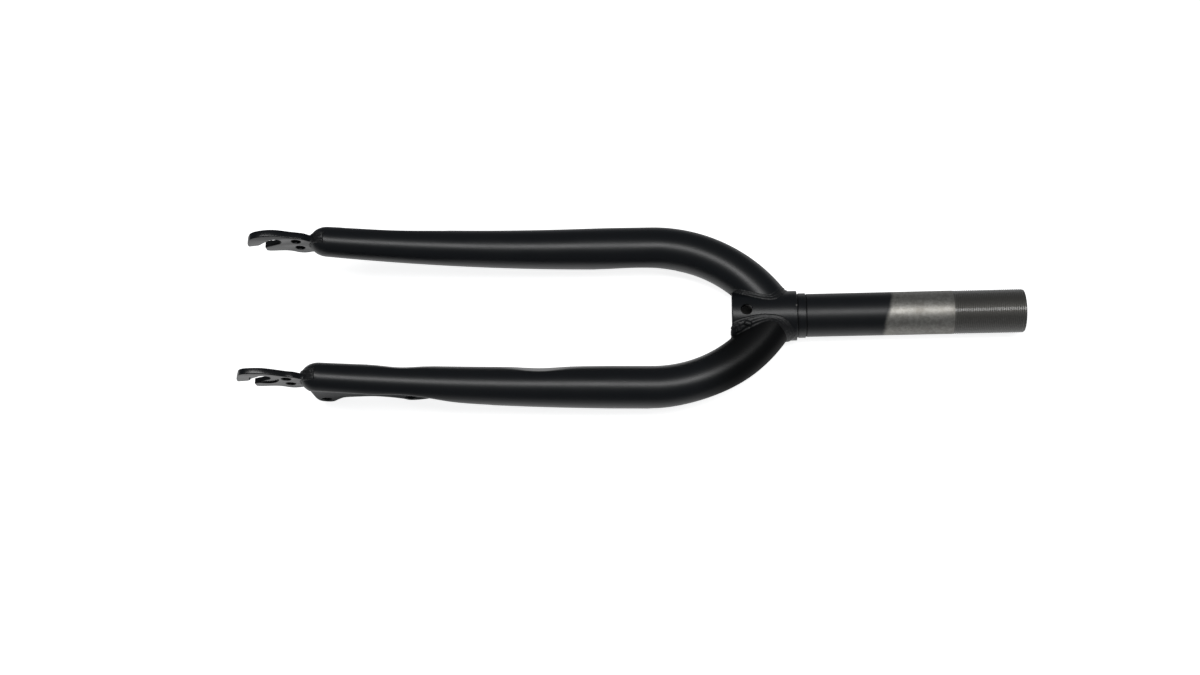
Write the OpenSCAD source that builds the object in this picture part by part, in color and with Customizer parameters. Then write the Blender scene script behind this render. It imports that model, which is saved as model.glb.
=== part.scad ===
// Rigid steel bicycle fork with a disc brake tab, for a 20 inch wheel.
// It lies on its back. X runs up the steerer to its thread, Y is the rider's right
// and Z is the front of the fork. The origin is on the steerer axis at the race shoulder.

/* [Steerer] */
// Outside diameter of the steerer tube
steerer_d = 25.4; // [22:0.1:28]
// Bore of the steerer, for a quill stem
steerer_bore_d = 22.2; // [19:0.1:24]
// Height of the steerer above the race shoulder
steerer_top = 131.2; // [90:0.1:260]
// Step of the crown race seat over the steerer, on one side
race_seat_step = 0.5; // [0.3:0.1:1.2]
// Height of the crown race seat
race_seat_h = 5; // [3:0.5:8]
// How much the steerer is turned down inside the sleeve, on one side
crown_step = 0.25; // [0.2:0.05:0.4]
// Chamfer at the top end of the steerer
steerer_chamfer = 0.8; // [0.3:0.1:1.2]

/* [Crown] */
// Wall thickness of the crown sleeve
sleeve_wall = 2; // [1.7:0.1:3]
// Length of the crown sleeve below the race shoulder
sleeve_len = 38.1; // [36:0.1:50]
// Diameter of the brake or mudguard hole
brake_hole_d = 6.5; // [5:0.1:8]
// Height of the brake hole above the lower end of the sleeve
brake_hole_up = 8.6; // [7:0.1:12]

/* [Legs] */
// Leg diameter at the crown
leg_d_top = 25; // [23:0.1:26]
// Leg diameter at the dropouts
leg_d_end = 17.8; // [16.5:0.1:20]
// Wall thickness of the legs
leg_wall = 1.6; // [1.2:0.1:2.5]
// Centre distance of the legs below the crown bend
leg_spread = 86.8; // [84:0.1:92]
// How far below the race shoulder the two leg axes meet
crown_meet = 11.5; // [10:0.1:14]
// Bend radius of the legs at the crown
crown_bend_r = 84; // [80:1:95]
// Forward slope of the legs below the crown
crown_slope = 0.05; // [0:0.005:0.06]
// Distance below the race shoulder where the taper starts
taper_from = 110; // [100:1:140]
// How late the taper sets in, 1 is an even taper
taper_bow = 1.2; // [1:0.05:1.3]
// Distance below the race shoulder where the rake bend starts
rake_from = 130; // [120:1:150]
// Radius of the rake bend
rake_r = 570; // [480:1:600]
// Distance of the closed leg tips below the race shoulder
leg_tip = 286.5; // [284:0.1:290]
// Length of the rounded leg tips
dome_len = 10; // [9:0.1:12]

/* [Dropouts] */
// Free width between the dropouts, where the hub sits
hub_width = 80; // [78:0.1:82]
// Plate thickness of the dropouts
plate_t = 4; // [3:0.1:5]
// Distance of the axle below the race shoulder
axle_down = 306; // [304:0.1:308]
// Distance of the axle forward of the steerer axis
axle_fwd = 41; // [40:0.1:42]
// Thickness of the tang that goes into the leg tip
tang_t = 3.4; // [2.4:0.1:4.6]
// Width of the axle slot
axle_slot_w = 8; // [7:0.1:9]
// Angle of the axle slot, measured back from the leg
axle_slot_tilt = 28; // [20:1:36]
// Diameter of the washer recess on the outer faces
recess_d = 17; // [14:0.5:18]
// Depth of the washer recess
recess_depth = 0.8; // [0.4:0.1:1.2]
// Diameter of the mudguard and rack eyelets
eyelet_d = 5; // [4:0.1:6]
// Distance of the eyelets above the axle
eyelet_up = 12.8; // [12:0.1:13.2]
// Distance between the two eyelets of a dropout
eyelet_gap = 9.7; // [9:0.1:10.5]

/* [Disc tab] */
// Thickness of the disc tab
tab_t = 5; // [4:0.1:5.4]
// Diameter of the two caliper holes
caliper_hole_d = 6.2; // [6:0.1:6.8]
// Distance between the two caliper holes
caliper_gap = 51; // [50:0.1:52]
// Distance of the lower caliper hole below the race shoulder
caliper_down = 281.6; // [280.6:0.1:282.6]
// Distance of the caliper holes behind the steerer axis
caliper_back = 5.8; // [5:0.1:7]
// Rounding of the tab around its lower hole
tab_round_r = 6.4; // [6:0.1:7]

/* [Welds] */
// Radius of the crown weld beads
crown_weld_r = 2.8; // [2.4:0.1:3.2]
// Radius of the dropout and tab weld beads
small_weld_r = 2; // [1.7:0.1:2.3]

/* [Hidden] */
$fn = 96;
ring_n = 32;
bore_n = 20;
r_top = leg_d_top/2;
r_end = leg_d_end/2;
sleeve_d = steerer_d + 2*sleeve_wall;
race_seat_d = steerer_d + 2*race_seat_step;
crown_end_d = steerer_d - 2*crown_step;
r_sleeve = sleeve_d/2;
brake_hole_x = -sleeve_len + brake_hole_up;
half_spread = leg_spread/2;
axle_x = -axle_down;
reach = axle_down;
hub_y = hub_width/2;
plate_y = hub_y + plate_t/2;
throat_w = axle_slot_w - 0.2;
tang_x = -leg_tip - small_weld_r - 0.4;
dome_base = -leg_tip + dome_len;
bend_angle = acos(1 - half_spread/crown_bend_r);
bend_x = -crown_meet - crown_bend_r*sin(bend_angle);
toe = (half_spread - plate_y)/(bend_x - dome_base);
last_angle = bend_angle - 1;
eyelet_x = axle_x + eyelet_up;
eyelet_z = axle_fwd - 0.5;

// Centre line of the right leg
function leg_z(x) = -crown_slope*x + (x < -rake_from ? pow(-rake_from - x, 2)/(2*rake_r) : 0);
function bend_y(x) = half_spread - crown_bend_r + sqrt(pow(crown_bend_r, 2) - pow(x - bend_x, 2));
function leg_y(x) = x > bend_x ? bend_y(x) : half_spread - toe*(bend_x - x);
function leg_point(x) = [x, leg_y(x), leg_z(x)];
function unit(v) = v/norm(v);
function leg_dir(x) = unit(leg_point(x + 0.05) - leg_point(x - 0.05));
function taper(x) = (-taper_from - x)/(-taper_from - dome_base);
function leg_r(x) =
  x > -taper_from ? r_top : r_top + (r_end - r_top)*pow(min(1, taper(x)), taper_bow);

// Stations of the leg, each one [position along X, radius]
function dome_stations(r, from, len) = [for (a = [84, 66, 48, 32, 16]) [from - len*sin(a), r*cos(a)]];
function straight_stations(from, n, cut) =
  [for (i = [0:n]) let (x = from + (bend_x - from)*i/n) [x, leg_r(x) - cut]];
function bend_stations(n, cut) =
  [for (i = [1:n]) [bend_x + crown_bend_r*sin(last_angle*i/n), r_top - cut]];
function skin_stations() =
  concat(dome_stations(r_end, dome_base, dome_len), straight_stations(dome_base, 15, 0),
    bend_stations(13, 0));
function bore_stations() =
  let (from = dome_base + 3)
  concat(dome_stations(r_end - leg_wall, from + 5, 5), straight_stations(from + 5, 9, leg_wall),
    bend_stations(9, leg_wall), [[-crown_meet - 2, r_top - leg_wall]]);

function ring(c, t, r, n) =
  let (s = unit(cross([0, 0, 1], t)), u = cross(t, s))
  [for (k = [0:n-1]) let (a = 360*k/n) c + r*(cos(a)*s + sin(a)*u)];
function leg_ring(s, n) = ring(leg_point(s[0]), leg_dir(s[0]), s[1], n);

// A closed skin over rings of n points each, with flat ends
module skin(rings, n) {
  m = len(rings);
  points = [for (r = rings) for (p = r) p];
  walls = [for (i = [0:m-2]) for (k = [0:n-1]) for (h = [0:1])
    let (a = i*n + k, b = i*n + (k + 1)%n)
    h == 0 ? [a, b + n, b] : [a, a + n, b + n]];
  low = [[for (k = [0:n-1]) k]];
  high = [[for (k = [0:n-1]) m*n - 1 - k]];
  polyhedron(points = points, faces = concat(low, walls, high));
}

// A closed skin over a loop of rings
module loop_skin(rings, n) {
  m = len(rings);
  points = [for (r = rings) for (p = r) p];
  walls = [for (i = [0:m-1]) for (k = [0:n-1]) for (h = [0:1])
    let (a = i*n + k, b = i*n + (k + 1)%n, c = ((i + 1)%m)*n + k, d = ((i + 1)%m)*n + (k + 1)%n)
    h == 0 ? [a, d, b] : [a, c, d]];
  polyhedron(points = points, faces = walls);
}

module along_x(d, from, to) {
  translate([from, 0, 0])
    rotate([0, 90, 0])
      cylinder(d = d, h = to - from);
}

// The legs and their welds stop at the outside of the sleeve
module sleeve_space() {
  along_x(sleeve_d, -3*sleeve_len, sleeve_len);
}

module brake_hole() {
  translate([brake_hole_x, 0, -sleeve_d])
    cylinder(d = brake_hole_d, h = 2*sleeve_d);
}

// A plate that lies in the XZ plane, with its middle at height y
module plate(y, t) {
  translate([0, y + t/2, 0])
    rotate([90, 0, 0])
      linear_extrude(height = t)
        children();
}

module pin_y(x, z, d) {
  translate([x, -reach/2, z])
    rotate([-90, 0, 0])
      cylinder(d = d, h = reach);
}

module leg_skin() {
  skin([for (s = skin_stations()) leg_ring(s, ring_n)], ring_n);
}

module leg_bore() {
  skin([for (s = bore_stations()) leg_ring(s, bore_n)], bore_n);
}

// Slot in the leg tip that takes the dropout plate
module tip_slot() {
  translate([-leg_tip - dome_len, plate_y - tang_t/2, -reach/2])
    cube([2*dome_len, tang_t, reach]);
}

module leg() {
  difference() {
    difference() {
      leg_skin();
      sleeve_space();
    }
    leg_bore();
    tip_slot();
  }
}

// Seen from the rider's right, with the front of the fork up
module dropout_2d() {
  x = axle_x;
  z = axle_fwd;
  base_z = leg_z(dome_base);
  difference() {
    polygon([[x - 15.6, z - 3.6], [x - 15.9, z - 1.3], [x - 15.4, z + 1.6], [x - 14.1, z + 5],
      [x - 12.6, z + 8], [x - 9.6, z + 9.8], [x - 6, z + 10.5], [x - 2, z + 10.6],
      [x + 2, z + 10], [x + 6, z + 8.2], [x + 10, z + 6.2], [x + 14, z + 4.6],
      [x + 18, z + 3], [dome_base, base_z + r_end - 0.4],
      [dome_base, base_z - r_end + 0.4], [x + 19, z - 17.6], [x + 16, z - 18.5],
      [x + 12.6, z - 18.8], [x + 9.6, z - 17.8], [x + 7, z - 15.8], [x + 4, z - 14.6],
      [x, z - 14.3], [x - 7.2, z - 14.3], [x - 8, z - 13.2], [x - 8, z - 4.5]]);
    // axle slot
    translate([x, z])
      circle(d = axle_slot_w);
    translate([x, z])
      rotate(axle_slot_tilt)
        translate([-30, -throat_w/2])
          square([30, throat_w]);
  }
}

module dropout() {
  difference() {
    plate(plate_y, plate_t)
      dropout_2d();
    pin_y(eyelet_x, eyelet_z, eyelet_d);
    pin_y(eyelet_x, eyelet_z - eyelet_gap, eyelet_d);
    // the tang is thinner than the plate on both faces
    for (side = [-1, 1])
      translate([tang_x, plate_y + side*(tang_t + plate_t)/2 - plate_t/2, -reach/2])
        cube([reach, plate_t, reach]);
    // washer recess on the outer face
    translate([axle_x, plate_y + plate_t/2 - recess_depth, axle_fwd])
      rotate([-90, 0, 0])
        cylinder(d = recess_d, h = 5);
  }
}

module tab_2d() {
  x = -caliper_down;
  z = -caliper_back;
  x2 = x + caliper_gap;
  difference() {
    union() {
      translate([x + 0.3, z + 0.5])
        circle(r = tab_round_r);
      polygon([[x - 6.2, z + 30], [x - 5.2, z + 18], [x - 6.1, z + 1], [x + 0.3, z - 5.8],
        [x + 3.6, z - 5.2], [x + 6.6, z - 1.7], [x + 10.9, z + 2.6], [x + 14.9, z + 3.8],
        [x + 22, z + 4.4], [x2 - 21, z + 4.5], [x2 - 12.4, z + 1.8], [x2 - 5.4, z - 2],
        [x2, z - 5.2], [x2 + 6, z - 4.6], [x2 + 14, z - 1], [x2 + 22, z + 6],
        [x2 + 26, leg_z(x2 + 26)], [x + 10, leg_z(x + 10)]]);
      translate([x2, z])
        circle(r = 5.6);
    }
    dropout_2d();
  }
}

// Points around the right leg where its skin meets the sleeve
function skin_point(a, q) =
  let (x = bend_x + crown_bend_r*sin(a), t = leg_dir(x))
  let (s = unit(cross([0, 0, 1], t)), u = cross(t, s))
  leg_point(x) + r_top*(cos(q)*s + sin(q)*u);
function off_axis(p) = norm([p[1], p[2]]);
function meet_angle(q, lo, hi, n) =
  n == 0 ? (lo + hi)/2 :
  off_axis(skin_point((lo + hi)/2, q)) > r_sleeve ?
  meet_angle(q, (lo + hi)/2, hi, n - 1) : meet_angle(q, lo, (lo + hi)/2, n - 1);
function meet_point(q) = skin_point(meet_angle(q, 5, last_angle, 20), q);
function leg_normal(q) =
  let (a = meet_angle(q, 5, last_angle, 20), x = bend_x + crown_bend_r*sin(a))
  unit(meet_point(q) - leg_point(x));
function sleeve_normal(p) = unit([0, p[1], p[2]]);

module crown_weld() {
  n = 36;
  k = 10;
  sink = crown_weld_r*0.5;
  rings = [for (i = [0:n-1]) let (q = 360*i/n)
    let (p = meet_point(q), t = unit(meet_point(q + 3) - meet_point(q - 3)))
    let (w = unit(leg_normal(q) + sleeve_normal(p)), s = unit(cross(w, t)), u = cross(t, s))
    [for (j = [0:k-1]) let (a = 360*j/k) p - sink*w + crown_weld_r*(cos(a)*s + sin(a)*u)]];
  difference() {
    loop_skin(rings, k);
    sleeve_space();
    leg_skin();
  }
}

// A bead along points on a surface, with the surface's outward direction at each point
function bead_ring(p, t, w, r, k) =
  let (s = unit(cross(w, t)), u = cross(t, s))
  [for (j = [0:k-1]) let (a = 360*j/k) p + r*(cos(a)*s + sin(a)*u)];

// Path of the weld around the dropout plate, on the rounded leg tip
module dropout_weld() {
  z0 = leg_z(dome_base);
  centre = [dome_base, plate_y, z0];
  side_y = tang_t/2 + 0.5;
  way = [for (b = [-90:20:90]) b];
  n = len(way);
  outer = [for (b = way)
    centre + [-dome_len*cos(b), side_y, (r_end + 0.1)*sin(b)]];
  over = [centre + [0.4, 0, r_end + 0.3]];
  inner = [for (i = [0:n-1]) let (b = way[n - 1 - i])
    centre + [-dome_len*cos(b), -side_y, (r_end + 0.1)*sin(b)]];
  under = [centre + [0.4, 0, -r_end - 0.3]];
  path = concat(outer, over, inner, under);
  m = len(path);
  rings = [for (i = [0:m-1])
    let (p = path[i], t = unit(path[(i + 1)%m] - path[(i + m - 1)%m]))
    bead_ring(p, t, unit(p - centre), small_weld_r, 10)];
  difference() {
    loop_skin(rings, 10);
    leg_skin();
    plate(plate_y, tang_t)
      dropout_2d();
  }
}

// Point on the back of the leg skin, at a distance y beside the plane of the plates
function back_point(x, y) =
  let (r = leg_r(x), off = plate_y + y - leg_y(x))
  [x, plate_y + y, leg_z(x) - sqrt(max(r*r/4, r*r - off*off))];

module tab_weld() {
  from = dome_base + 4;
  to = -caliper_down + caliper_gap + 21;
  side_y = tab_t/2 + 0.5;
  n = 12;
  one = [for (i = [0:n]) back_point(from + (to - from)*i/n, side_y)];
  turn = [back_point(to + 3, side_y*0.7), back_point(to + 4, 0), back_point(to + 3, -side_y*0.7)];
  two = [for (i = [0:n]) back_point(to + (from - to)*i/n, -side_y)];
  path = concat(one, turn, two);
  m = len(path);
  rings = [for (i = [0:m-1])
    let (p = path[i], t = unit(path[min(m - 1, i + 1)] - path[max(0, i - 1)]))
    bead_ring(p, t, unit(p - leg_point(p[0])), small_weld_r, 10)];
  difference() {
    skin(rings, 10);
    leg_skin();
    plate(plate_y, tab_t)
      tab_2d();
  }
}

module steerer_tube() {
  color([0.09, 0.09, 0.1])
    difference() {
      union() {
        along_x(crown_end_d, -sleeve_len, race_seat_h + 1);
        along_x(steerer_d, race_seat_h, steerer_top - steerer_chamfer);
        translate([steerer_top - steerer_chamfer, 0, 0])
          rotate([0, 90, 0])
            cylinder(d1 = steerer_d, d2 = steerer_d - 2*steerer_chamfer, h = steerer_chamfer);
      }
      along_x(steerer_bore_d, -sleeve_len - 1, steerer_top + 1);
      brake_hole();
    }
}

module crown_sleeve() {
  color([0.08, 0.08, 0.09])
    difference() {
      union() {
        along_x(sleeve_d, -sleeve_len, 0);
        along_x(race_seat_d, -1, race_seat_h);
      }
      along_x(crown_end_d, -sleeve_len - 1, race_seat_h + 1);
      brake_hole();
    }
}

module leg_right() {
  color([0.08, 0.08, 0.09])
    leg();
}

module leg_left() {
  color([0.08, 0.08, 0.09])
    mirror([0, 1, 0])
      leg();
}

module dropout_right() {
  color([0.1, 0.1, 0.11])
    dropout();
}

module dropout_left() {
  color([0.1, 0.1, 0.11])
    mirror([0, 1, 0])
      dropout();
}

module disc_tab() {
  color([0.1, 0.1, 0.11])
    mirror([0, 1, 0])
      difference() {
        plate(plate_y, tab_t)
          tab_2d();
        pin_y(-caliper_down, -caliper_back, caliper_hole_d);
        pin_y(-caliper_down + caliper_gap, -caliper_back, caliper_hole_d);
        leg_skin();
      }
}

module crown_weld_right() {
  color([0.12, 0.12, 0.13])
    crown_weld();
}

module crown_weld_left() {
  color([0.12, 0.12, 0.13])
    mirror([0, 1, 0])
      crown_weld();
}

module dropout_weld_right() {
  color([0.12, 0.12, 0.13])
    dropout_weld();
}

module dropout_weld_left() {
  color([0.12, 0.12, 0.13])
    mirror([0, 1, 0])
      difference() {
        dropout_weld();
        // the weld stops at the disc tab
        plate(plate_y, tab_t)
          tab_2d();
      }
}

module disc_tab_weld() {
  color([0.12, 0.12, 0.13])
    mirror([0, 1, 0])
      tab_weld();
}

steerer_tube();
crown_sleeve();
leg_right();
leg_left();
dropout_right();
dropout_left();
disc_tab();
crown_weld_right();
crown_weld_left();
dropout_weld_right();
dropout_weld_left();
disc_tab_weld();
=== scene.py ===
import math

import bmesh
import bpy
from mathutils import Matrix, Vector


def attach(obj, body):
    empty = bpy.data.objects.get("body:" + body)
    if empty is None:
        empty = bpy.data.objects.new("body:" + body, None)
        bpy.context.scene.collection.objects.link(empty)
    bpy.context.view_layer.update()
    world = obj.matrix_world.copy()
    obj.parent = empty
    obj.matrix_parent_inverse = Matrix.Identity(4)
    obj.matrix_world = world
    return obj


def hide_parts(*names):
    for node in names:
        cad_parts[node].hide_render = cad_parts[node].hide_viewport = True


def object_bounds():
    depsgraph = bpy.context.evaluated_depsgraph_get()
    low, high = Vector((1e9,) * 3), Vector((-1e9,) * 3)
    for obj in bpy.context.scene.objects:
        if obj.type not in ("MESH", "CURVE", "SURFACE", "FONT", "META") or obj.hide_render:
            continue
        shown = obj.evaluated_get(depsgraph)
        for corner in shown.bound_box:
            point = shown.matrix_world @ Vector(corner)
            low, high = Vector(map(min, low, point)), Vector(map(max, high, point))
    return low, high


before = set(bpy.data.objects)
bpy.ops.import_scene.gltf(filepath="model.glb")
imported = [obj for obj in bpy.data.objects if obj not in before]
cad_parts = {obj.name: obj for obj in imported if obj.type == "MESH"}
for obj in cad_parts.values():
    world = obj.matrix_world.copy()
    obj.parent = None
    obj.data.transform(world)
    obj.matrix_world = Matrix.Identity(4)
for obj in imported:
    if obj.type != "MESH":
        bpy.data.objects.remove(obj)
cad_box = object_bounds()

MM = 0.001

# Sizes of the fork in millimetres, the same as in the part's source
STEERER_R = 12.7
STEERER_BORE_R = 11.1
STEERER_TOP = 131.2
SEAT_R = 13.2
SEAT_H = 5.0
SLEEVE_R = 14.7
SLEEVE_LEN = 38.1
BRAKE_HOLE = (-29.5, 3.25)
LEG_R_TOP = 12.5
LEG_R_END = 8.9
HALF_SPREAD = 43.4
CROWN_MEET = 11.5
CROWN_BEND_R = 84.0
CROWN_SLOPE = 0.05
TAPER_FROM = 110.0
TAPER_BOW = 1.2
RAKE_FROM = 130.0
RAKE_R = 570.0
LEG_TIP = 286.5
DOME_LEN = 10.0
DOME_BASE = DOME_LEN - LEG_TIP
PLATE_Y = 42.0
PLATE_T = 4.0
AXLE = (-306.0, 41.0)
AXLE_R = 4.0
AXLE_TILT = 28.0
RECESS = (8.5, 0.8)
EYELETS = ((-293.2, 40.5), (-293.2, 30.8))
EYELET_R = 2.5
TAB_T = 5.0
CALIPER = ((-281.6, -5.8), (-230.6, -5.8))
CALIPER_R = 3.1
CROWN_WELD_R = 2.8
SMALL_WELD_R = 2.0

# Shallow dents in the legs: place along X, half length, outward direction in Y and Z, depth
RIGHT_DENTS = (
    (-94.0, 26.0, (-0.94, -0.35), 0.8),
    (-238.0, 30.0, (0.94, 0.35), 0.5),
)
LEFT_DENTS = (
    (-232.0, 17.0, (-0.94, 0.34), 1.2),
    (-151.0, 22.0, (-0.90, 0.44), 1.5),
    (-58.0, 30.0, (0.96, -0.27), 0.9),
    (-244.0, 64.0, (0.96, -0.27), 1.7),
    (-229.0, 36.0, (0.96, -0.27), 2.9),
)

# Thread of the steerer, 24 turns to the inch. The tube under it is thinner by the last value
THREAD_PITCH = 25.4 / 24
THREAD_LEN = 41.0
THREAD_DEPTH = 0.22

# Eased edges and rims of the visible shapes, and the size of the weld's surface cells
EYELET_EASE = 0.35
PLATE_BEVEL = 0.5
TAB_BEVEL = 1.0
DENT_EASE = 0.4
WELD_VOXEL = 0.26

# The camera that was fitted to the photograph: focal length in pixels, place in mm, angles in degrees
PHOTO_WIDTH = 1200
PHOTO_FOCAL = 1469.4
SENSOR_WIDTH = 36.0
CAMERA_PLACE = (-44.3, -272.9, 831.4)
CAMERA_ANGLES = (17.49, 4.74, -1.22)

WHITE = (1, 1, 1, 1)
NO_LIGHT = (0, 0, 0, 1)
PAINT_BLACK = (0.0036, 0.0046, 0.0062, 1)
PAINT_IOR = 1.5


class Link:
    """A socket of a node tree, written in sums. Math nodes are added as the sums need them."""

    def __init__(self, tree, socket=None):
        self.tree, self.socket = tree, socket

    def node(self, kind, settings=None, inputs=None, output=0):
        made = self.tree.nodes.new(kind)
        for name, value in (settings or {}).items():
            setattr(made, name, value)
        for key, value in (inputs or {}).items():
            if isinstance(value, Link):
                self.tree.links.new(value.socket, made.inputs[key])
            else:
                made.inputs[key].default_value = value
        return Link(self.tree, made.outputs[output])

    def math(self, operation, *values):
        return self.node("ShaderNodeMath", {"operation": operation}, dict(enumerate(values)))

    def __add__(self, other): return self.math("ADD", self, other)
    def __radd__(self, other): return self.math("ADD", other, self)
    def __sub__(self, other): return self.math("SUBTRACT", self, other)
    def __rsub__(self, other): return self.math("SUBTRACT", other, self)
    def __mul__(self, other): return self.math("MULTIPLY", self, other)
    def __rmul__(self, other): return self.math("MULTIPLY", other, self)
    def __pow__(self, other): return self.math("POWER", self, other)

    def step(self, low, high):
        """0 below low, 1 above high, and smooth between them."""
        return self.node("ShaderNodeMapRange", {"interpolation_type": "SMOOTHSTEP"},
                         {"Value": self, "From Min": low, "From Max": high})

    def blend(self, a, b):
        """Colour a where this is 0, colour b where it is 1."""
        return self.node("ShaderNodeMix", {"data_type": "RGBA"}, {0: self, 6: a, 7: b}, output=2)


# Node trees and meshes


def new_object(name, mesh):
    made = bpy.data.objects.new(name, mesh)
    bpy.context.scene.collection.objects.link(made)
    return made


def bake(made):
    """Turns an object with modifiers into the plain mesh that they give."""
    bpy.context.view_layer.update()
    evaluated = made.evaluated_get(bpy.context.evaluated_depsgraph_get())
    mesh = bpy.data.meshes.new_from_object(evaluated)
    made.modifiers.clear()
    made.data = mesh
    mesh.name = made.name
    return made


def discard(made):
    bpy.data.objects.remove(made)


def cut_away(made, cutter):
    """Cuts one solid out of another. The cutter is used up."""
    tidy_mesh(cutter.data, 0.00003)
    modifier = made.modifiers.new("cut", "BOOLEAN")
    modifier.operation, modifier.solver, modifier.object = "DIFFERENCE", "EXACT", cutter
    bake(made)
    discard(cutter)


def tidy_mesh(mesh, merge=0.00001):
    """Joins points that lie closer than merge, and turns all faces outwards."""
    work = bmesh.new()
    work.from_mesh(mesh)
    bmesh.ops.remove_doubles(work, verts=work.verts, dist=merge)
    bmesh.ops.recalc_face_normals(work, faces=work.faces)
    work.to_mesh(mesh)
    work.free()


def smooth(made, sharp_over=35):
    mesh = made.data
    mesh.polygons.foreach_set("use_smooth", [True] * len(mesh.polygons))
    mesh.set_sharp_from_angle(angle=math.radians(sharp_over))
    mesh.update()
    return made


def line_mesh(name, chains, **kept):
    """Lines through points in millimetres, with a number or a direction kept at each point.

    chains holds pairs of a list of points and whether that line is closed."""
    mesh = bpy.data.meshes.new(name)
    verts, edges = [], []
    for points, closed in chains:
        first, count = len(verts), len(points)
        verts += [Vector(p) * MM for p in points]
        edges += [(first + i, first + (i + 1) % count) for i in range(count if closed else count - 1)]
    mesh.from_pydata(verts, edges, [])
    for key, values in kept.items():
        is_vector = isinstance(values[0], Vector)
        attribute = mesh.attributes.new(key, "FLOAT_VECTOR" if is_vector else "FLOAT", "POINT")
        for item, value in zip(attribute.data, values):
            if is_vector:
                item.vector = value
            else:
                item.value = value
    return mesh


def geometry_tree(name, sizes):
    """A geometry node tree with one mesh going in, one coming out, and named inputs."""
    tree = bpy.data.node_groups.new(name, "GeometryNodeTree")
    tree.interface.new_socket("Line", in_out="INPUT", socket_type="NodeSocketGeometry")
    for label, kind, value in sizes:
        socket = tree.interface.new_socket(label, in_out="INPUT", socket_type="NodeSocket" + kind)
        socket.default_value = value
    tree.interface.new_socket("Mesh", in_out="OUTPUT", socket_type="NodeSocketGeometry")
    given = tree.nodes.new("NodeGroupInput")
    return tree, {socket.name: Link(tree, socket) for socket in given.outputs if socket.name}


def end_tree(geometry, material):
    """Realize Instances and Set Material, then the tree's output."""
    solid = geometry.node("GeometryNodeRealizeInstances", inputs={"Geometry": geometry})
    painted = solid.node("GeometryNodeSetMaterial", inputs={"Geometry": solid, "Material": material})
    result = geometry.tree.nodes.new("NodeGroupOutput")
    geometry.tree.links.new(painted.socket, result.inputs["Mesh"])


def grow(name, mesh, tree, **sizes):
    """Runs a geometry node tree on a mesh, and keeps the result as a plain mesh."""
    made = new_object(name, mesh)
    modifier = made.modifiers.new("tree", "NODES")
    modifier.node_group = tree
    for item in tree.interface.items_tree:
        if item.in_out == "INPUT" and item.name in sizes:
            modifier[item.identifier] = sizes[item.name]
    return bake(made)


# Camera, floor and lamps


def aim_camera():
    """The view of the photograph: from above the fork, 17 degrees towards its left side."""
    tilt, turn, roll = (math.radians(a) for a in CAMERA_ANGLES)
    right = Vector((1, 0, 0))
    up = Vector((0, math.cos(tilt), math.sin(tilt)))
    back = Vector((0, -math.sin(tilt), math.cos(tilt)))
    right, back = (math.cos(turn) * right - math.sin(turn) * back,
                   math.sin(turn) * right + math.cos(turn) * back)
    right, up = (math.cos(roll) * right + math.sin(roll) * up,
                 -math.sin(roll) * right + math.cos(roll) * up)
    data = bpy.data.cameras.new("photo_view")
    data.sensor_fit = "HORIZONTAL"
    data.sensor_width = SENSOR_WIDTH
    data.lens = SENSOR_WIDTH * PHOTO_FOCAL / PHOTO_WIDTH
    data.clip_start, data.clip_end = 0.01, 100.0
    camera = bpy.data.objects.new("photo_view", data)
    bpy.context.scene.collection.objects.link(camera)
    placed = Matrix((right, up, back)).transposed().to_4x4()
    placed.translation = Vector(CAMERA_PLACE) * MM
    camera.matrix_world = placed
    bpy.context.scene.camera = camera


def new_material(name):
    material = bpy.data.materials.new(name)
    material.use_nodes = True
    material.node_tree.nodes.clear()
    return material, Link(material.node_tree)


def surface(material, shader):
    result = material.node_tree.nodes.new("ShaderNodeOutputMaterial")
    material.node_tree.links.new(shader.socket, result.inputs["Surface"])
    return material


def floor_material():
    """Pale card: white in the view with the fork's soft shadow on it, darker far behind the fork."""
    material, start = new_material("white_table")
    place = start.node("ShaderNodeTexCoord", output=3)
    parts = start.node("ShaderNodeSeparateXYZ", inputs={0: place})
    x, y = (Link(start.tree, parts.socket.node.outputs[i]) for i in (0, 1))
    card = start.node("ShaderNodeBsdfDiffuse", inputs={"Color": (0.8, 0.8, 0.8, 1)})
    far = y.math("MAXIMUM", y.step(0.06, 0.16), 0.4 * x.step(0.045, 0.07))
    behind = far.blend((0.85, 0.85, 0.85, 1), (0.25, 0.26, 0.28, 1))
    mirror_card = start.node("ShaderNodeBsdfDiffuse", inputs={"Color": behind})

    def strip(low, high):
        return y.step(low - 0.015, low) * (1.0 - y.step(high, high + 0.008))

    # glowing strips of the table, seen only in reflections, which paint bright reflection lines along the
    # lower edge of each tube
    by_legs = (1.0 - x.step(-0.06, -0.03)) * (strip(-0.105, -0.06) + strip(-0.02, 0.025))
    by_steerer = x.step(-0.05, -0.03) * strip(-0.05, -0.014) * (1.0 - 0.6 * x.step(0.045, 0.06))
    mirror_glow = start.node("ShaderNodeEmission", inputs={
        "Color": (by_legs + by_steerer).blend(NO_LIGHT, WHITE), "Strength": 0.42})
    mirror_card = start.node("ShaderNodeAddShader", inputs={0: mirror_card, 1: mirror_glow})
    away = (x * x + y * y).step(0.2, 2.0).blend((0.84, 0.84, 0.84, 1), WHITE)
    glow = start.node("ShaderNodeEmission", inputs={"Color": away, "Strength": 1.0})
    ray = start.node("ShaderNodeLightPath")
    seen = Link(start.tree, ray.socket.node.outputs["Is Camera Ray"])
    mirrored = Link(start.tree, ray.socket.node.outputs["Is Glossy Ray"])
    lit = start.node("ShaderNodeAddShader", inputs={0: card, 1: glow})
    dim = start.node("ShaderNodeMixShader", inputs={0: mirrored, 1: card, 2: mirror_card})
    mixed = start.node("ShaderNodeMixShader", inputs={0: seen, 1: dim, 2: lit})
    return surface(material, mixed)


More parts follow.
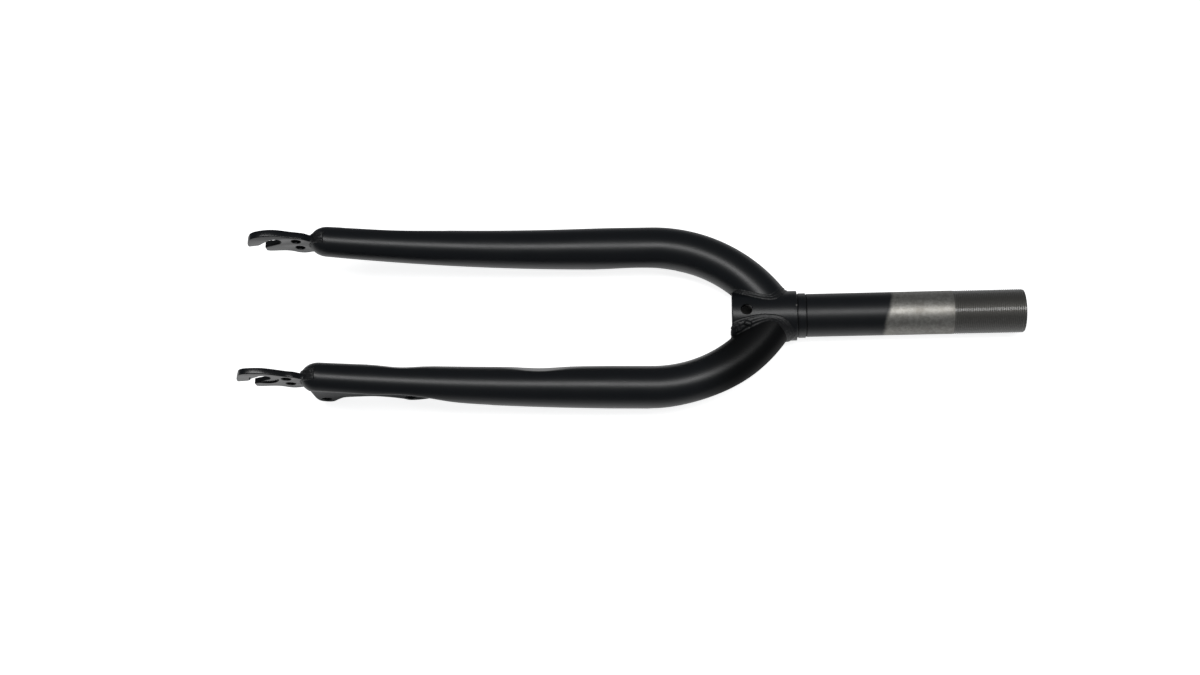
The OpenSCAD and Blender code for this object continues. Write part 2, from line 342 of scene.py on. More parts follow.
def lay_floor():
    low = cad_box[0].z
    size = 6.0
    mesh = bpy.data.meshes.new("table_top")
    mesh.from_pydata([(-size, -size, low), (size, -size, low), (size, size, low), (-size, size, low)],
                     [], [(0, 1, 2, 3)])
    table = new_object("table_top", mesh)
    mesh.materials.append(floor_material())


def hang_lamp(name, place, size, power, aim=(0, 0, 0), turned=0):
    data = bpy.data.lights.new(name, "AREA")
    data.shape = "RECTANGLE"
    data.size, data.size_y = size
    data.energy = power
    lamp = bpy.data.objects.new(name, data)
    bpy.context.scene.collection.objects.link(lamp)
    lamp.location = place
    towards = (Vector(place) - Vector(aim)).to_track_quat("Z", "Y").to_matrix()
    lamp.rotation_euler = (towards @ Matrix.Rotation(math.radians(turned), 3, "Z")).to_euler()


def light_studio():
    hang_lamp("overhead_lamp", (-0.1, -0.005, 1.3), (1.7, 0.34), 10.4, aim=(-0.1, 0, 0), turned=-13)
    world = bpy.data.worlds.new("room")
    world.use_nodes = True
    world.node_tree.nodes.clear()
    start = Link(world.node_tree)
    ray = start.node("ShaderNodeLightPath")
    seen = Link(start.tree, ray.socket.node.outputs["Is Camera Ray"])
    room = start.node("ShaderNodeBackground", inputs={"Color": (0.9, 0.95, 1.0, 1), "Strength": 0.12})
    white = start.node("ShaderNodeBackground", inputs={"Color": WHITE, "Strength": 1.0})
    mixed = start.node("ShaderNodeMixShader", inputs={0: seen, 1: room, 2: white})
    result = world.node_tree.nodes.new("ShaderNodeOutputWorld")
    world.node_tree.links.new(mixed.socket, result.inputs["Surface"])
    bpy.context.scene.world = world
    bpy.context.scene.view_settings.view_transform = "Standard"


# Finishes


def shade_over(shader, mask):
    """The same shader with painted shade, a dark diffuse layer, where the mask is 1."""
    shade_layer = shader.node("ShaderNodeBsdfDiffuse", inputs={"Color": (0.006, 0.006, 0.006, 1)})
    return shader.node("ShaderNodeMixShader", inputs={0: mask, 1: shader, 2: shade_layer})


def black_paint(name="satin_black_paint", groove=None, chip=None, painted_shade_span=None, roughness=0.29):
    """Satin black paint with a faint orange peel and a little dust.

    groove is a range along X where painted shade darkens the groove, chip the place of a small chip in the
    paint, and painted_shade_span a range along X where painted shade, a dark diffuse mix, takes the place of
    the paint's highlight."""
    material, start = new_material(name)
    place = start.node("ShaderNodeTexCoord", output=3)
    peel = start.node("ShaderNodeTexNoise", inputs={"Vector": place, "Scale": 900.0, "Detail": 2.0})
    cloud = start.node("ShaderNodeTexNoise", inputs={"Vector": place, "Scale": 60.0, "Detail": 4.0})
    specks = start.node("ShaderNodeTexNoise", inputs={"Vector": place, "Scale": 2600.0, "Detail": 1.0})
    dust = specks.step(0.68, 0.76)
    colour = dust.blend(PAINT_BLACK, (0.018, 0.019, 0.021, 1))
    if chip:
        off = start.node("ShaderNodeVectorMath", {"operation": "DISTANCE"}, {0: place, 1: chip}, output=1)
        colour = off.step(0.0004, 0.0007).blend((0.14, 0.137, 0.13, 1), colour)
    bump = start.node("ShaderNodeBump", inputs={"Strength": 0.10, "Distance": 0.0002, "Height": peel})
    paint = start.node("ShaderNodeBsdfPrincipled", inputs={
        "Base Color": colour, "Roughness": roughness + 0.10 * cloud, "Normal": bump, "IOR": PAINT_IOR})
    x = start.node("ShaderNodeSeparateXYZ", inputs={0: place})
    if groove:
        low, high = groove
        # painted shade: darker in the groove
        paint = shade_over(paint, 0.5 * x.step(low, low + 0.0001) * (1.0 - x.step(high - 0.0001, high)))
    if painted_shade_span:
        # painted shade over this span, dimming the highlight there
        paint = shade_over(paint, 0.78 * x.step(*painted_shade_span))
    return surface(material, paint)


def weld_paint():
    """The same paint over weld metal, a little rougher in the hollows."""
    material, start = new_material("painted_weld")
    place = start.node("ShaderNodeTexCoord", output=3)
    grain = start.node("ShaderNodeTexNoise", inputs={"Vector": place, "Scale": 700.0, "Detail": 3.0})
    bump = start.node("ShaderNodeBump", inputs={"Strength": 0.5, "Distance": 0.0004, "Height": grain})
    paint = start.node("ShaderNodeBsdfPrincipled", inputs={
        # grain tone that varies at random, with the bump's hollows darker as faint painted shade
        "Base Color": grain.blend((0.004, 0.005, 0.006, 1), (0.009, 0.009, 0.010, 1)),
        "Roughness": 0.36 + 0.16 * grain, "Normal": bump, "IOR": PAINT_IOR})
    return surface(material, paint)


def steerer_finish():
    """Bare turned steel at the top and black paint below it, with a soft slanting edge between."""
    material, start = new_material("steerer_steel_and_paint")
    place = start.node("ShaderNodeTexCoord", output=3)
    parts = start.node("ShaderNodeSeparateXYZ", inputs={0: place})
    x, y, z = (Link(start.tree, socket) for socket in parts.socket.node.outputs)
    cloud = start.node("ShaderNodeTexNoise", inputs={"Vector": place, "Scale": 90.0, "Detail": 4.0})
    edge = x - 0.0536 - 0.26 * y - 0.004 * (cloud - 0.5)
    radius = (y * y + z * z) ** 0.5
    inside = 1.0 - radius.step(0.01105, 0.0112)
    bare = edge.math("MAXIMUM", edge.step(-0.0018, 0.0018), inside)
    # turning marks run round the tube
    marks = start.node("ShaderNodeTexNoise", {"noise_dimensions": "1D"},
                       {"W": x * 2400.0, "Scale": 1.0, "Detail": 3.0})
    spots = cloud.step(0.56, 0.72)
    mottle = start.node("ShaderNodeTexNoise", inputs={
        "Vector": place, "Scale": 520.0, "Detail": 3.0, "Roughness": 0.7})
    bright = mottle.step(0.35, 0.68).blend((0.30, 0.29, 0.265, 1), (0.41, 0.40, 0.375, 1))
    steel = (spots * 0.45).blend(bright, (0.19, 0.175, 0.155, 1))
    # painted shade: the bore is a darker grey below 70 mm up the steerer, deeper inside the tube
    steel = (inside * (1.0 - x.step(0.07, 0.12))).blend(steel, (0.15, 0.15, 0.152, 1))
    peel = start.node("ShaderNodeTexNoise", inputs={"Vector": place, "Scale": 900.0, "Detail": 2.0})
    height = start.node("ShaderNodeMix", {"data_type": "FLOAT"}, {0: bare, 2: peel, 3: marks})
    bump = start.node("ShaderNodeBump", inputs={"Strength": 0.10, "Distance": 0.0001, "Height": height})
    # painted shade in the fine groove above the race seat
    groove = x.step(0.0049, 0.005) * (1.0 - x.step(0.0056, 0.0057)) * radius.step(0.012, 0.0122)
    skin = start.node("ShaderNodeBsdfPrincipled", inputs={
        "Base Color": bare.blend(PAINT_BLACK, steel),
        "Metallic": bare * 0.9,
        "Roughness": 0.345 + 0.10 * cloud + bare * (0.005 + 0.12 * mottle),
        "Normal": bump, "IOR": PAINT_IOR})
    return surface(material, shade_over(skin, 0.7 * groove))


def thread_finish():
    """Bare cut thread, with painted shade darkening it towards the bottom of its grooves."""
    material, start = new_material("cut_thread_steel")
    place = start.node("ShaderNodeTexCoord", output=3)
    parts = start.node("ShaderNodeSeparateXYZ", inputs={0: place})
    y, z = (Link(start.tree, parts.socket.node.outputs[i]) for i in (1, 2))
    radius = (y * y + z * z) ** 0.5
    # painted shade: the colour is darker below the crests, in the thread's grooves
    crest = radius.step(0.0122, 0.0127)
    steel = start.node("ShaderNodeBsdfPrincipled", inputs={
        "Base Color": crest.blend((0.06, 0.058, 0.052, 1), (0.15, 0.145, 0.133, 1)),
        "Metallic": 0.75, "Roughness": 0.5, "Coat Weight": 1.0, "Coat Roughness": 0.13})
    return surface(material, steel)


# Centre line of the legs


BEND_ANGLE = math.acos(1 - HALF_SPREAD / CROWN_BEND_R)
BEND_X = -CROWN_MEET - CROWN_BEND_R * math.sin(BEND_ANGLE)
TOE = (HALF_SPREAD - PLATE_Y) / (BEND_X - DOME_BASE)


def leg_point(x):
    """Centre of the right leg at a distance x along the steerer axis, in millimetres."""
    z = -CROWN_SLOPE * x
    if x < -RAKE_FROM:
        z += (-RAKE_FROM - x) ** 2 / (2 * RAKE_R)
    if x > BEND_X:
        y = HALF_SPREAD - CROWN_BEND_R + math.sqrt(CROWN_BEND_R ** 2 - (x - BEND_X) ** 2)
    else:
        y = HALF_SPREAD - TOE * (BEND_X - x)
    return Vector((x, y, z))


def leg_way(x):
    return (leg_point(x + 0.05) - leg_point(x - 0.05)).normalized()


def leg_radius(x):
    if x > -TAPER_FROM:
        return LEG_R_TOP
    share = min(1.0, (-TAPER_FROM - x) / (-TAPER_FROM - DOME_BASE)) ** TAPER_BOW
    return LEG_R_TOP + (LEG_R_END - LEG_R_TOP) * share


def mirrored(points, side):
    """Points of the right side, carried over to the left where side is -1."""
    return [Vector((p[0], side * p[1], p[2])) for p in points]


def leg_line():
    """Stations from the rounded tip to the middle of the crown: points and radii."""
    stations = []
    tip = 18
    for i in range(1, tip + 1):
        angle = math.radians(90 - 90 * i / tip)
        stations.append((DOME_BASE - DOME_LEN * math.sin(angle), LEG_R_END * math.cos(angle)))
    straight = 60
    for i in range(1, straight + 1):
        x = DOME_BASE + (BEND_X - DOME_BASE) * i / straight
        stations.append((x, leg_radius(x)))
    bend = 44
    for i in range(1, bend + 1):
        angle = (BEND_ANGLE - math.radians(1)) * i / bend
        stations.append((BEND_X + CROWN_BEND_R * math.sin(angle), LEG_R_TOP))
    return [leg_point(x) for x, _ in stations], [r for _, r in stations]


def nearest_station(point):
    """Place along X of the leg's cross-section that a point of the right leg lies in."""
    x = min(point.x, -CROWN_MEET - 4)
    for _ in range(5):
        way = leg_way(x)
        x = min(x + (point - leg_point(x)).dot(way) * way.x, -CROWN_MEET - 4)
    return x


def press_dents(leg, side, dents):
    """Flattens the tube a little where it was pressed: place along X, half length, direction, depth."""
    for x_mid, half_len, (dy, dz), depth in dents:
        push = Vector((0, dy, dz)).normalized()
        for vertex in leg.data.vertices:
            point = vertex.co / MM
            point.y *= side
            if abs(point.x - x_mid) > half_len + 15:
                continue
            x = nearest_station(point)
            share = abs(x - x_mid) / half_len
            if share < 1:
                way = leg_way(x)
                flat = (push - push.dot(way) * way).normalized()
                out = (point - leg_point(x)).dot(flat)
                limit = leg_radius(x) - depth * (1 - share * share) ** 2
                over = out - limit + DENT_EASE
                if over > 0:
                    # eased near the rim, so that the dent has no hard edge
                    drop = over - DENT_EASE + DENT_EASE * math.exp(-over / DENT_EASE)
                    point -= flat * max(0.0, drop)
                    vertex.co = Vector((point.x, side * point.y, point.z)) * MM
    leg.data.update()


def leg_tree(material):
    """A tube along a line whose points keep their radius, cut to fit round the crown sleeve."""
    tree, given = geometry_tree("tapered_leg", [
        ("Sides", "Int", 64), ("Sleeve Radius", "Float", 0.0145)])
    line = given["Line"]
    path = line.node("GeometryNodeMeshToCurve", inputs={"Mesh": line})
    radius = line.node("GeometryNodeInputNamedAttribute", {"data_type": "FLOAT"}, {"Name": "radius_m"})
    circle = line.node("GeometryNodeCurvePrimitiveCircle", inputs={
        "Resolution": given["Sides"], "Radius": 1.0})
    tube = line.node("GeometryNodeCurveToMesh", inputs={
        "Curve": path, "Profile Curve": circle, "Scale": radius, "Fill Caps": True})
    sleeve = line.node("GeometryNodeMeshCylinder", inputs={
        "Vertices": 128, "Radius": given["Sleeve Radius"], "Depth": 0.4})
    sleeve = line.node("GeometryNodeTransform", inputs={"Geometry": sleeve, "Rotation": (0, math.pi / 2, 0)})
    cut = line.node("GeometryNodeMeshBoolean", {"operation": "DIFFERENCE", "solver": "EXACT"},
                    {"Mesh 1": tube, "Mesh 2": sleeve})
    end_tree(cut, material)
    return tree


def make_leg(name, side, tree, dents, node):
    points, radii = leg_line()
    line = line_mesh(name + "_line", [(mirrored(points, side), False)], radius_m=[r * MM for r in radii])
    leg = grow(name, line, tree)
    tidy_mesh(leg.data)
    press_dents(leg, side, dents)
    smooth(leg, 40)
    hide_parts(node)
    return leg


# Turned parts


def lathe(name, profile, material, sides=128):
    """Turns a closed profile of (distance along the steerer, radius) round the steerer axis."""
    verts, faces = [], []
    count = len(profile)
    for k in range(sides):
        angle = 2 * math.pi * k / sides
        for x, r in profile:
            verts.append((x * MM, r * MM * math.cos(angle), r * MM * math.sin(angle)))
    for k in range(sides):
        for i in range(count):
            a, b = k * count, ((k + 1) % sides) * count
            j = (i + 1) % count
            faces.append((a + i, a + j, b + j, b + i))
    mesh = bpy.data.meshes.new(name)
    mesh.from_pydata(verts, [], faces)
    mesh.materials.append(material)
    tidy_mesh(mesh)
    return new_object(name, mesh)


def cut_brake_hole(made):
    """A through hole along the front to back direction, with its rims eased."""
    x, r = BRAKE_HOLE
    ease, out = 0.35, SLEEVE_R
    wide, end = r + ease + 3, 40
    profile = [(-end, 0.01), (-end, wide), (-out - 2, wide), (-out - 0.05, r + ease), (-out + 0.55, r),
               (out - 0.55, r), (out + 0.05, r + ease), (out + 2, wide), (end, wide), (end, 0.01)]
    cutter = lathe("hole_cutter", profile, made.data.materials[0], 48)
    across = Matrix.Rotation(-math.pi / 2, 4, "Y")
    cutter.data.transform(Matrix.Translation(Vector((x, 0, 0)) * MM) @ across)
    cut_away(made, cutter)
    return smooth(made, 30)


def arc(x, r, size, start, end, steps=4):
    """Points of a rounded corner of a turned profile, with its centre at (x, r)."""
    angles = [math.radians(start + (end - start) * i / steps) for i in range(steps + 1)]
    return [(x + size * math.cos(a), r + size * math.sin(a)) for a in angles]


def make_steerer(material, thread_material):
    thread_at = STEERER_TOP - THREAD_LEN
    root = STEERER_R - THREAD_DEPTH
    profile = [(-SLEEVE_LEN + 0.3, STEERER_BORE_R), (STEERER_TOP - 0.4, STEERER_BORE_R),
               (STEERER_TOP, STEERER_BORE_R + 0.4), (STEERER_TOP, root - 0.35), (STEERER_TOP - 0.5, root),
               (thread_at + 1.2, root), (thread_at, STEERER_R)]
    profile += [(thread_at - 82.0 * i / 30, STEERER_R) for i in range(1, 31)]
    # a fine groove above the race seat
    profile += [(SEAT_H + 0.65, STEERER_R), (SEAT_H + 0.5, STEERER_R - 0.35), (SEAT_H, STEERER_R - 0.35)]
    profile += [(-SLEEVE_LEN + 0.3, STEERER_R), (-SLEEVE_LEN, STEERER_R - 0.3),
                (-SLEEVE_LEN, STEERER_BORE_R + 0.3)]
    steerer = lathe("steerer", profile, material)
    steerer.data.materials.append(thread_material)
    for face in steerer.data.polygons:
        if face.center.x > (thread_at + 0.5) * MM and face.center.yz.length > (root - 0.4) * MM:
            face.material_index = 1
    return cut_brake_hole(steerer)


def make_sleeve(material):
    profile = [(-SLEEVE_LEN, STEERER_R - 0.02), (SEAT_H, STEERER_R - 0.02)]
    profile += arc(SEAT_H - 0.2, SEAT_R - 0.2, 0.2, 0, 90, 3)
    # undercut at the shoulder
    profile += [(0.85, SEAT_R), (0.75, SEAT_R - 0.35), (-0.1, SEAT_R - 0.35), (-0.1, SLEEVE_R - 0.6)]
    profile += arc(-0.5, SLEEVE_R - 0.4, 0.4, 0, 90)
    profile += [(-SLEEVE_LEN * i / 12, SLEEVE_R) for i in range(1, 12)]
    profile += arc(-SLEEVE_LEN + 0.8, SLEEVE_R - 0.8, 0.8, 90, 180)
    sleeve = lathe("crown_sleeve_turned", profile, material)
    return cut_brake_hole(sleeve)


def thread_tree(material):
    """A ridge that winds round the steerer, one turn for each pitch."""
    tree, given = geometry_tree("steerer_thread", [
        ("Turns", "Float", 36.0), ("Pitch", "Float", 0.001),
        ("Radius", "Float", 0.0127), ("Start", "Float", 0.09)])
    ridge = given["Pitch"] * 0.5
    middle = given["Radius"] - ridge
    coil = ridge.node("GeometryNodeCurveSpiral", inputs={
        "Resolution": 80, "Rotations": given["Turns"], "Start Radius": middle, "End Radius": middle,
        "Height": given["Turns"] * given["Pitch"]})
    coil = ridge.node("GeometryNodeSetCurveNormal", {"mode": "Z_UP"}, {"Curve": coil})
    shape = ridge.node("GeometryNodeCurvePrimitiveCircle", inputs={"Resolution": 4, "Radius": ridge})
    wound = ridge.node("GeometryNodeCurveToMesh", inputs={
        "Curve": coil, "Profile Curve": shape, "Fill Caps": True})
    start = ridge.node("ShaderNodeCombineXYZ", inputs={0: given["Start"]})
    laid = ridge.node("GeometryNodeTransform", inputs={
        "Geometry": wound, "Rotation": (0, math.pi / 2, 0), "Translation": start})
    end_tree(laid, material)
    return tree


def make_thread(tree):
    turns = (THREAD_LEN - 1.6) / THREAD_PITCH
    seed = line_mesh("thread_seed", [([(0, 0, 0), (1, 0, 0)], False)])
    start = STEERER_TOP - THREAD_LEN + 0.6
    thread = grow("steerer_thread", seed, tree, Turns=turns, Pitch=THREAD_PITCH * MM,
                  Radius=STEERER_R * MM, Start=start * MM)
    tidy_mesh(thread.data, 0.000002)
    return smooth(thread, 30)


# Plates


def rounded(points, steps=5):
    """A smooth closed line through points of an outline. A point with a third value of 1 stays a corner."""
    count, line = len(points), []
    for i in range(count):
        p0, p1, p2, p3 = (points[(i + k) % count] for k in (-1, 0, 1, 2))
        a, b, c, d = (Vector(p[:2]) for p in (p0, p1, p2, p3))
        if len(p1) > 2:
            a = b - (c - b)
        if len(p2) > 2:
            d = c + (c - b)
        if len(p1) > 2 and len(p2) > 2:
            line.append(b)
            continue
        for k in range(steps):
            t = k / steps
            line.append(0.5 * (2 * b + (c - a) * t + (2 * a - 5 * b + 4 * c - d) * t * t
                               + (3 * b - a - 3 * c + d) * t ** 3))
    return line


def circle(centre, radius, steps=40):
    return [Vector((centre[0] + radius * math.cos(2 * math.pi * i / steps),
                    centre[1] + radius * math.sin(2 * math.pi * i / steps))) for i in range(steps)]


def plate(name, outlines, y, thickness, bevel, material, side):
    """A flat plate across the Y axis with eased edges. The outlines after the first are its holes."""
    data = bpy.data.curves.new(name, "CURVE")
    data.dimensions, data.fill_mode = "2D", "BOTH"
    data.extrude = (thickness / 2 - bevel) * MM
    data.bevel_depth, data.offset, data.bevel_resolution = bevel * MM, -bevel * MM, 3
    for outline in outlines:
        spline = data.splines.new("POLY")
        spline.points.add(len(outline) - 1)
        spline.use_cyclic_u = True
        for point, (u, v) in zip(spline.points, outline):
            point.co = (u * MM, v * MM, 0, 1)
    flat = new_object(name + "_outline", data)
    bpy.context.view_layer.update()
    mesh = bpy.data.meshes.new_from_object(flat.evaluated_get(bpy.context.evaluated_depsgraph_get()))
    discard(flat)
    mesh.transform(Matrix.Translation(Vector((0, side * y, 0)) * MM) @ Matrix.Rotation(math.pi / 2, 4, "X"))
    mesh.materials.clear()
    mesh.materials.append(material)
    tidy_mesh(mesh, 0.000005)
    return smooth(new_object(name, mesh), 35)


def turn(point, angle):
    c, s = math.cos(math.radians(angle)), math.sin(math.radians(angle))
    return c * point[0] - s * point[1], s * point[0] + c * point[1]


def dropout_outline(low):
    """Front plate edge, the leg root, the rear edge and the open axle slot, seen from the right side."""
    x, z = AXLE
    base = leg_point(DOME_BASE).z
    front = [(x - 16.6, z - 2.4), (x - 15.9, z + 1.0), (x - 14.4, z + 4.4),
             (x - 12.6, z + 7.6 - 0.7 * low), (x - 9.6, z + 9.6 - low), (x - 6, z + 10.3 - low),
             (x - 2, z + 10.4 - low), (x + 2, z + 9.8 - low), (x + 6, z + 8.2 - 0.8 * low),
             (x + 10, z + 6.2 - 0.5 * low), (x + 14, z + 4.4), (x + 18, z + 2.6), (x + 21.5, z - 0.8),
             (DOME_BASE, base + LEG_R_END - 3.5, 1)]
    rear = [(DOME_BASE, base - LEG_R_END + 0.4, 1), (x + 19, z - 17.6), (x + 16, z - 18.5),
            (x + 12.6, z - 18.8), (x + 9.6, z - 17.8), (x + 7, z - 15.8), (x + 4, z - 14.6),
            (x, z - 14.3), (x - 6.2, z - 14.3), (x - 8.6, z - 13.4, 1)]
    # the slot runs back and down from the axle
    half = AXLE_R - 0.1
    lower = [turn((-11.4, -half), AXLE_TILT), turn((-1, -half), AXLE_TILT)]
    seat = [turn((AXLE_R * math.sin(math.radians(a)), -AXLE_R * math.cos(math.radians(a))), AXLE_TILT)
            for a in range(0, 181, 12)]
    upper = [turn(point, AXLE_TILT) for point in ((-1, half), (-10, half - 1.5), (-16, half + 0.5))]
    slot = [(x + u, z + v, 1) for u, v in lower + seat + upper]
    return rounded(front + rear + slot)


def make_dropout(name, side, material, node, middle, thickness, low, bend):
    """A dropout plate. Its hook lies low mm lower than drawn, and is bent inwards at its end."""
    outline = dropout_outline(low)
    holes = [circle(place, EYELET_R + EYELET_EASE) for place in EYELETS]
    made = plate(name, [outline] + holes, middle, thickness, PLATE_BEVEL, material, side)
    radius, depth = RECESS
    face = middle + thickness / 2
    cutter = lathe("recess_cutter", [(face - depth, 0.01), (face - depth, radius), (face + 3, radius),
                                     (face + 3, 0.01)], material, 64)
    turned = Matrix.Rotation(side * math.pi / 2, 4, "Z")
    cutter.data.transform(Matrix.Translation(Vector((AXLE[0], 0, AXLE[1])) * MM) @ turned)
    cut_away(made, cutter)
    for vertex in made.data.vertices:
        along, across = turn((vertex.co.x / MM - AXLE[0], vertex.co.z / MM - AXLE[1]), -AXLE_TILT)
        share = min(1.0, max(0.0, (8 - along) / 20)) * min(1.0, max(0.0, across / 3))
        vertex.co.y -= side * bend * MM * share * share * (3 - 2 * share)
    smooth(made, 32)
    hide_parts(node)
    return made


def make_disc_tab(material):
    x, z = CALIPER[0]
    x2 = CALIPER[1][0]
    lower = [(x - 6.2, z + 24, 1), (x - 5.6, z + 18), (x - 6.0, z + 8), (x - 6.1, z + 1),
             (x - 4.6, z - 3.6), (x - 0.2, z - 5.8), (x + 3.6, z - 5.0), (x + 6.6, z - 1.7),
             (x + 10.9, z + 2.6), (x + 14.9, z + 3.8), (x + 22, z + 4.4), (x + 30, z + 4.5),
             (x + 38.6, z + 1.8), (x + 45.6, z - 2), (x2 - 1.5, z - 5.4), (x2 + 6, z - 4.6),
             (x2 + 14, z - 1), (x2 + 22, z + 6)]
    # the upper edge is hidden in the leg
    lower += [(u, leg_point(u).z, 1) for u in (x2 + 26, x2, x + 30, x + 8)]
    holes = [circle(place, CALIPER_R) for place in CALIPER]
    made = plate("disc_tab_plate", [rounded(lower)] + holes, PLATE_Y, TAB_T, TAB_BEVEL, material, -1)
    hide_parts("disc_tab")
    return made


# Weld beads


def weld_tree(material):
    """Overlapping drops of weld metal along a line whose points keep an outward direction and a size."""
    tree, given = geometry_tree("weld_bead", [
        ("Radius", "Float", 0.0028), ("Step", "Float", 0.0016), ("Seed", "Int", 1)])
    line = given["Line"]
    outward = line.node("GeometryNodeInputNamedAttribute", {"data_type": "FLOAT_VECTOR"}, {"Name": "outward"})
    share = line.node("GeometryNodeInputNamedAttribute", {"data_type": "FLOAT"}, {"Name": "share"})
    path = line.node("GeometryNodeMeshToCurve", inputs={"Mesh": line})
    drops = line.node("GeometryNodeCurveToPoints", {"mode": "LENGTH"},
                      {"Curve": path, "Length": given["Step"]})
    tangent = Link(tree, drops.socket.node.outputs["Tangent"])
    facing = line.node("FunctionNodeAxesToRotation", {"primary_axis": "Z", "secondary_axis": "X"},
                       {"Primary Axis": outward, "Secondary Axis": tangent})
    drop = line.node("GeometryNodeMeshUVSphere", inputs={
        "Segments": 14, "Rings": 9, "Radius": given["Radius"]})
    drop = line.node("GeometryNodeTransform", inputs={"Geometry": drop, "Scale": (0.55, 1.0, 0.8)})
    size = line.node("FunctionNodeRandomValue", {"data_type": "FLOAT"},
                     {2: 0.84, 3: 1.12, "Seed": given["Seed"]}, output=1)
    beads = line.node("GeometryNodeInstanceOnPoints", inputs={
        "Points": drops, "Instance": drop, "Rotation": facing, "Scale": size * share})
    core = line.node("GeometryNodeCurvePrimitiveCircle", inputs={
        "Resolution": 16, "Radius": given["Radius"] * 0.84})
    core = line.node("GeometryNodeCurveToMesh", inputs={
        "Curve": path, "Profile Curve": core, "Scale": share, "Fill Caps": True})
    joined = line.tree.nodes.new("GeometryNodeJoinGeometry")
    for piece in (beads, core):
        tree.links.new(piece.socket, joined.inputs[0])
    end_tree(Link(tree, joined.outputs[0]), material)
    return tree


def weld(name, side, passes, tree, radius, seed, node):
    """Grows the drops of each pass, then melts them into one bead.

    Each pass is a list of (point, outward direction, share of the radius) and whether it is closed."""
    chains = [(mirrored([p for p, _, _ in stations], side), closed) for stations, closed in passes]
    outward = mirrored([w for stations, _ in passes for _, w, _ in stations], side)
    shares = [share for stations, _ in passes for _, _, share in stations]
    line = line_mesh(name + "_line", chains, outward=outward, share=shares)
    bead = grow(name, line, tree, Radius=radius * MM, Seed=seed)
    melt = bead.modifiers.new("melt", "REMESH")
    melt.mode, melt.voxel_size = "VOXEL", WELD_VOXEL * MM
    ease = bead.modifiers.new("ease", "SMOOTH")
    ease.factor, ease.iterations = 0.5, 2
    material = bead.data.materials[-1]
    bake(bead)
    bead.data.materials.clear()
    bead.data.materials.append(material)
    bead.data.polygons.foreach_set("material_index", [0] * len(bead.data.polygons))
    smooth(bead, 180)
    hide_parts(node)
    return bead


def crown_line(climb=0.0):
    """Where the leg's skin meets the sleeve, or climb mm up the leg from there.

    Gives points, with the directions off the leg and off the sleeve."""
    def skin(angle, q):
        x = BEND_X + CROWN_BEND_R * math.sin(angle)
        way = leg_way(x)
        s = Vector((0, 0, 1)).cross(way).normalized()
        normal = math.cos(q) * s + math.sin(q) * way.cross(s)
        return leg_point(x) + LEG_R_TOP * normal, normal

    line = []
    for i in range(72):
        q = 2 * math.pi * i / 72
        low, high = math.radians(5), BEND_ANGLE - math.radians(1)
        for _ in range(24):
            middle = (low + high) / 2
            point, normal = skin(middle, q)
            low, high = (middle, high) if point.yz.length > SLEEVE_R else (low, middle)
        point, normal = skin(middle - climb / CROWN_BEND_R, q)
        point.x = max(point.x, -SLEEVE_LEN + 1.6)
        line.append((point, normal, Vector((0, point.y, point.z)).normalized()))
    return line


def crown_pass(climb, spread, size, fill):
    """One pass of a crown weld: climb mm up the leg, or a share of the way out on the sleeve."""
    line = crown_line(climb)
    count = len(line)
    stations = []
    for i, (point, off_leg, off_sleeve) in enumerate(line):
        # thick at the lower end of the sleeve, thin near the race seat
        thick = min(1.0, max(0.0, (-21.0 - point.x) / 11.0))
        share = (0.58 + 0.36 * thick) * size
        if climb:
            stations.append((point - CROWN_WELD_R * 0.7 * share * off_leg, off_leg, share))
        elif spread:
            along = (line[(i + 1) % count][0] - line[i - 1][0]).normalized()
            aside = along.cross(off_sleeve).normalized()
            if aside.dot(off_leg) < 0:
                aside = -aside
            out = 1.5 + 1.6 * thick
            if fill and point.z > 0:
                # the wide fill on the front side of the joint
                wide = 2.4 + 0.29 * max(0.0, -16 - point.x) + 0.3 * max(0.0, point.x + 14)
                out += (wide - out) * min(1.0, point.z / 5)
            moved = point + spread * out * aside
            moved.yz = moved.yz.normalized() * (SLEEVE_R - 0.8 * share)
            moved.x = max(moved.x, -SLEEVE_LEN + 1.2)
            stations.append((moved, off_sleeve, share))
        else:
            between = (off_leg + off_sleeve).normalized()
            stations.append((point - CROWN_WELD_R * 0.45 * share * between, between, share))
    return stations, True


def make_crown_weld(name, side, tree, seed, node, passes, lumps=()):
    """Several passes of weld metal between leg and sleeve, and a few lumps: their points and size."""
    chains = [crown_pass(*each, fill=side < 0) for each in passes]
    for points, size in lumps:
        chains.append(([(Vector(p), Vector((0, p[1], p[2])).normalized(), size) for p in points], False))
    return weld(name, side, chains, tree, CROWN_WELD_R, seed, node)


def make_dropout_weld(name, side, tree, seed, node):
    """Over the front edge of the plate, round the tip on its outer side and back on its inner side."""
    centre = Vector((DOME_BASE, PLATE_Y, leg_point(DOME_BASE).z))
    half = PLATE_T / 2 + 0.1
    reach, rise = DOME_LEN - 0.4, LEG_R_END - 0.5

    def on_tip(degrees, y):
        b = math.radians(degrees)
        point = centre + Vector((-reach * math.cos(b), y, rise * math.sin(b)))
        return point, (point - centre).normalized(), 0.8

    ridge = [on_tip(b, 0) for b in range(34, 83, 6)]
    outer = [on_tip(b, half) for b in range(84, -91, -6)]
    inner = [on_tip(b, -half) for b in range(-90, 85, 6)]
    return weld(name, side, [(ridge + outer + inner, False)], tree, SMALL_WELD_R, seed, node)


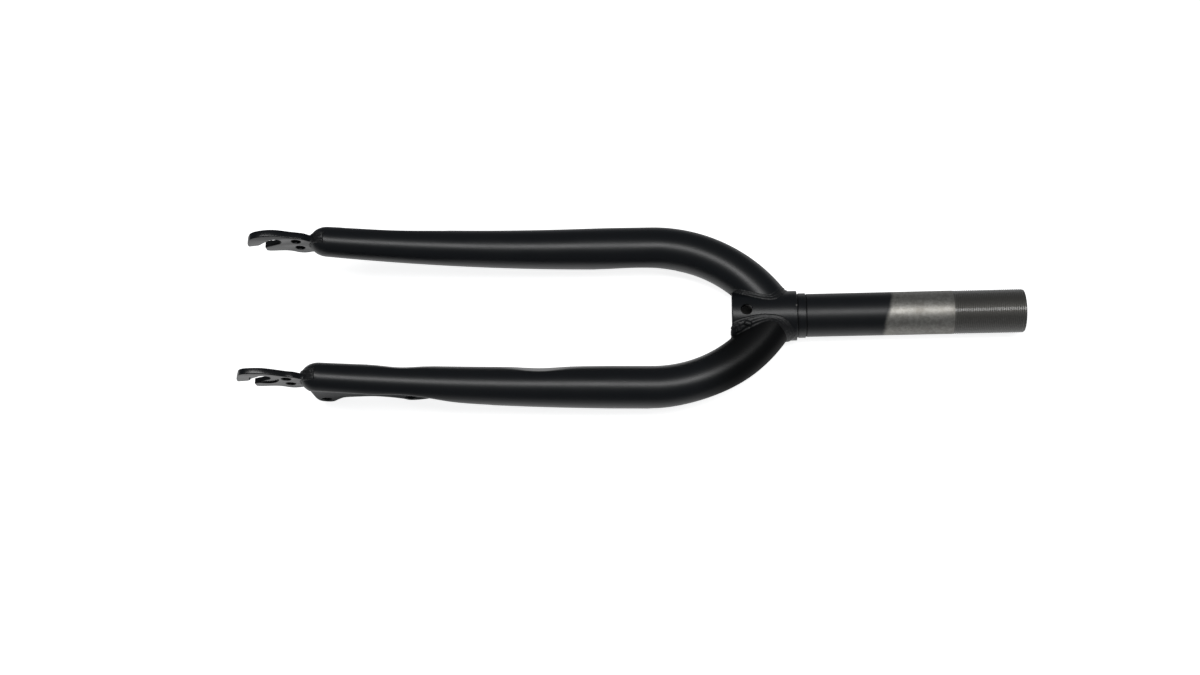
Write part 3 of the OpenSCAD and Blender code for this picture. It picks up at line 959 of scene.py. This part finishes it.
def make_tab_weld(name, tree, seed, node):
    start, end = DOME_BASE + 4, CALIPER[1][0] + 21
    half = TAB_T / 2 + 0.3

    def back(x, y):
        centre, r = leg_point(x), leg_radius(x) - 0.3
        point = Vector((x, PLATE_Y + y, centre.z - math.sqrt(r * r - (PLATE_Y + y - centre.y) ** 2)))
        return point, (point - leg_point(x)).normalized(), 0.9

    steps = 60
    one = [back(start + (end - start) * i / steps, half) for i in range(steps + 1)]
    two = [back(end + (start - end) * i / steps, -half) for i in range(steps + 1)]
    line = one + [back(end + 3, half * 0.7), back(end + 4, 0), back(end + 3, -half * 0.7)] + two
    return weld(name, -1, [(line, False)], tree, SMALL_WELD_R, seed, node)


# The fork


aim_camera()
lay_floor()
light_studio()

paint, painted_weld, steel, cut_steel = black_paint(), weld_paint(), steerer_finish(), thread_finish()
plate_paint = black_paint("dropout_paint", roughness=0.16)

steerer = make_steerer(steel, cut_steel)
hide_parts("steerer_tube")
# painted shade in the undercut at the race seat shoulder, and a real chip in the paint
sleeve_paint = black_paint("sleeve_paint", groove=(-0.0001, 0.0007), chip=(-0.0005, 0.0017, 0.0146))
sleeve = make_sleeve(sleeve_paint)
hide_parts("crown_sleeve")
thread = make_thread(thread_tree(cut_steel))
right_legs = leg_tree(paint)
# painted shade near the left leg's root, where its highlight fades
left_legs = leg_tree(black_paint("left_leg_paint", painted_shade_span=(-0.062, -0.034)))
beads = weld_tree(painted_weld)

black = [
    sleeve,
    make_leg("right_leg_tube", 1, right_legs, RIGHT_DENTS, "leg_right"),
    make_leg("left_leg_tube", -1, left_legs, LEFT_DENTS, "leg_left"),
    make_dropout("right_dropout_plate", 1, plate_paint, "dropout_right",
                 middle=41.5, thickness=4.2, low=0.4, bend=1.2),
    make_dropout("left_dropout_plate", -1, plate_paint, "dropout_left",
                 middle=42.9, thickness=3.6, low=-1.6, bend=0.0),
    make_disc_tab(paint),
    make_crown_weld("right_crown_bead", 1, beads, 3, "crown_weld_right",
                    [(0, 0, 0.95), (1.7, 0, 0.9), (3.3, 0, 0.55)]),
    make_crown_weld("left_crown_bead", -1, beads, 8, "crown_weld_left",
                    [(0, 0, 1.0), (0, 0.33, 0.85), (0, 0.67, 0.8), (0, 1.0, 0.65)],
                    [([(-30.2, 8.0, 13.9), (-27.6, 8.8, 13.7)], 0.62),
                     ([(-35.4, 9.0, 12.2), (-34.2, 11.4, 10.6)], 0.7)]),
    make_dropout_weld("right_dropout_bead", 1, beads, 5, "dropout_weld_right"),
    make_dropout_weld("left_dropout_bead", -1, beads, 6, "dropout_weld_left"),
    make_tab_weld("disc_tab_bead", beads, 7, "disc_tab_weld"),
]
for piece in black:
    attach(piece, "root")
for piece in (steerer, thread):
    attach(piece, "root")
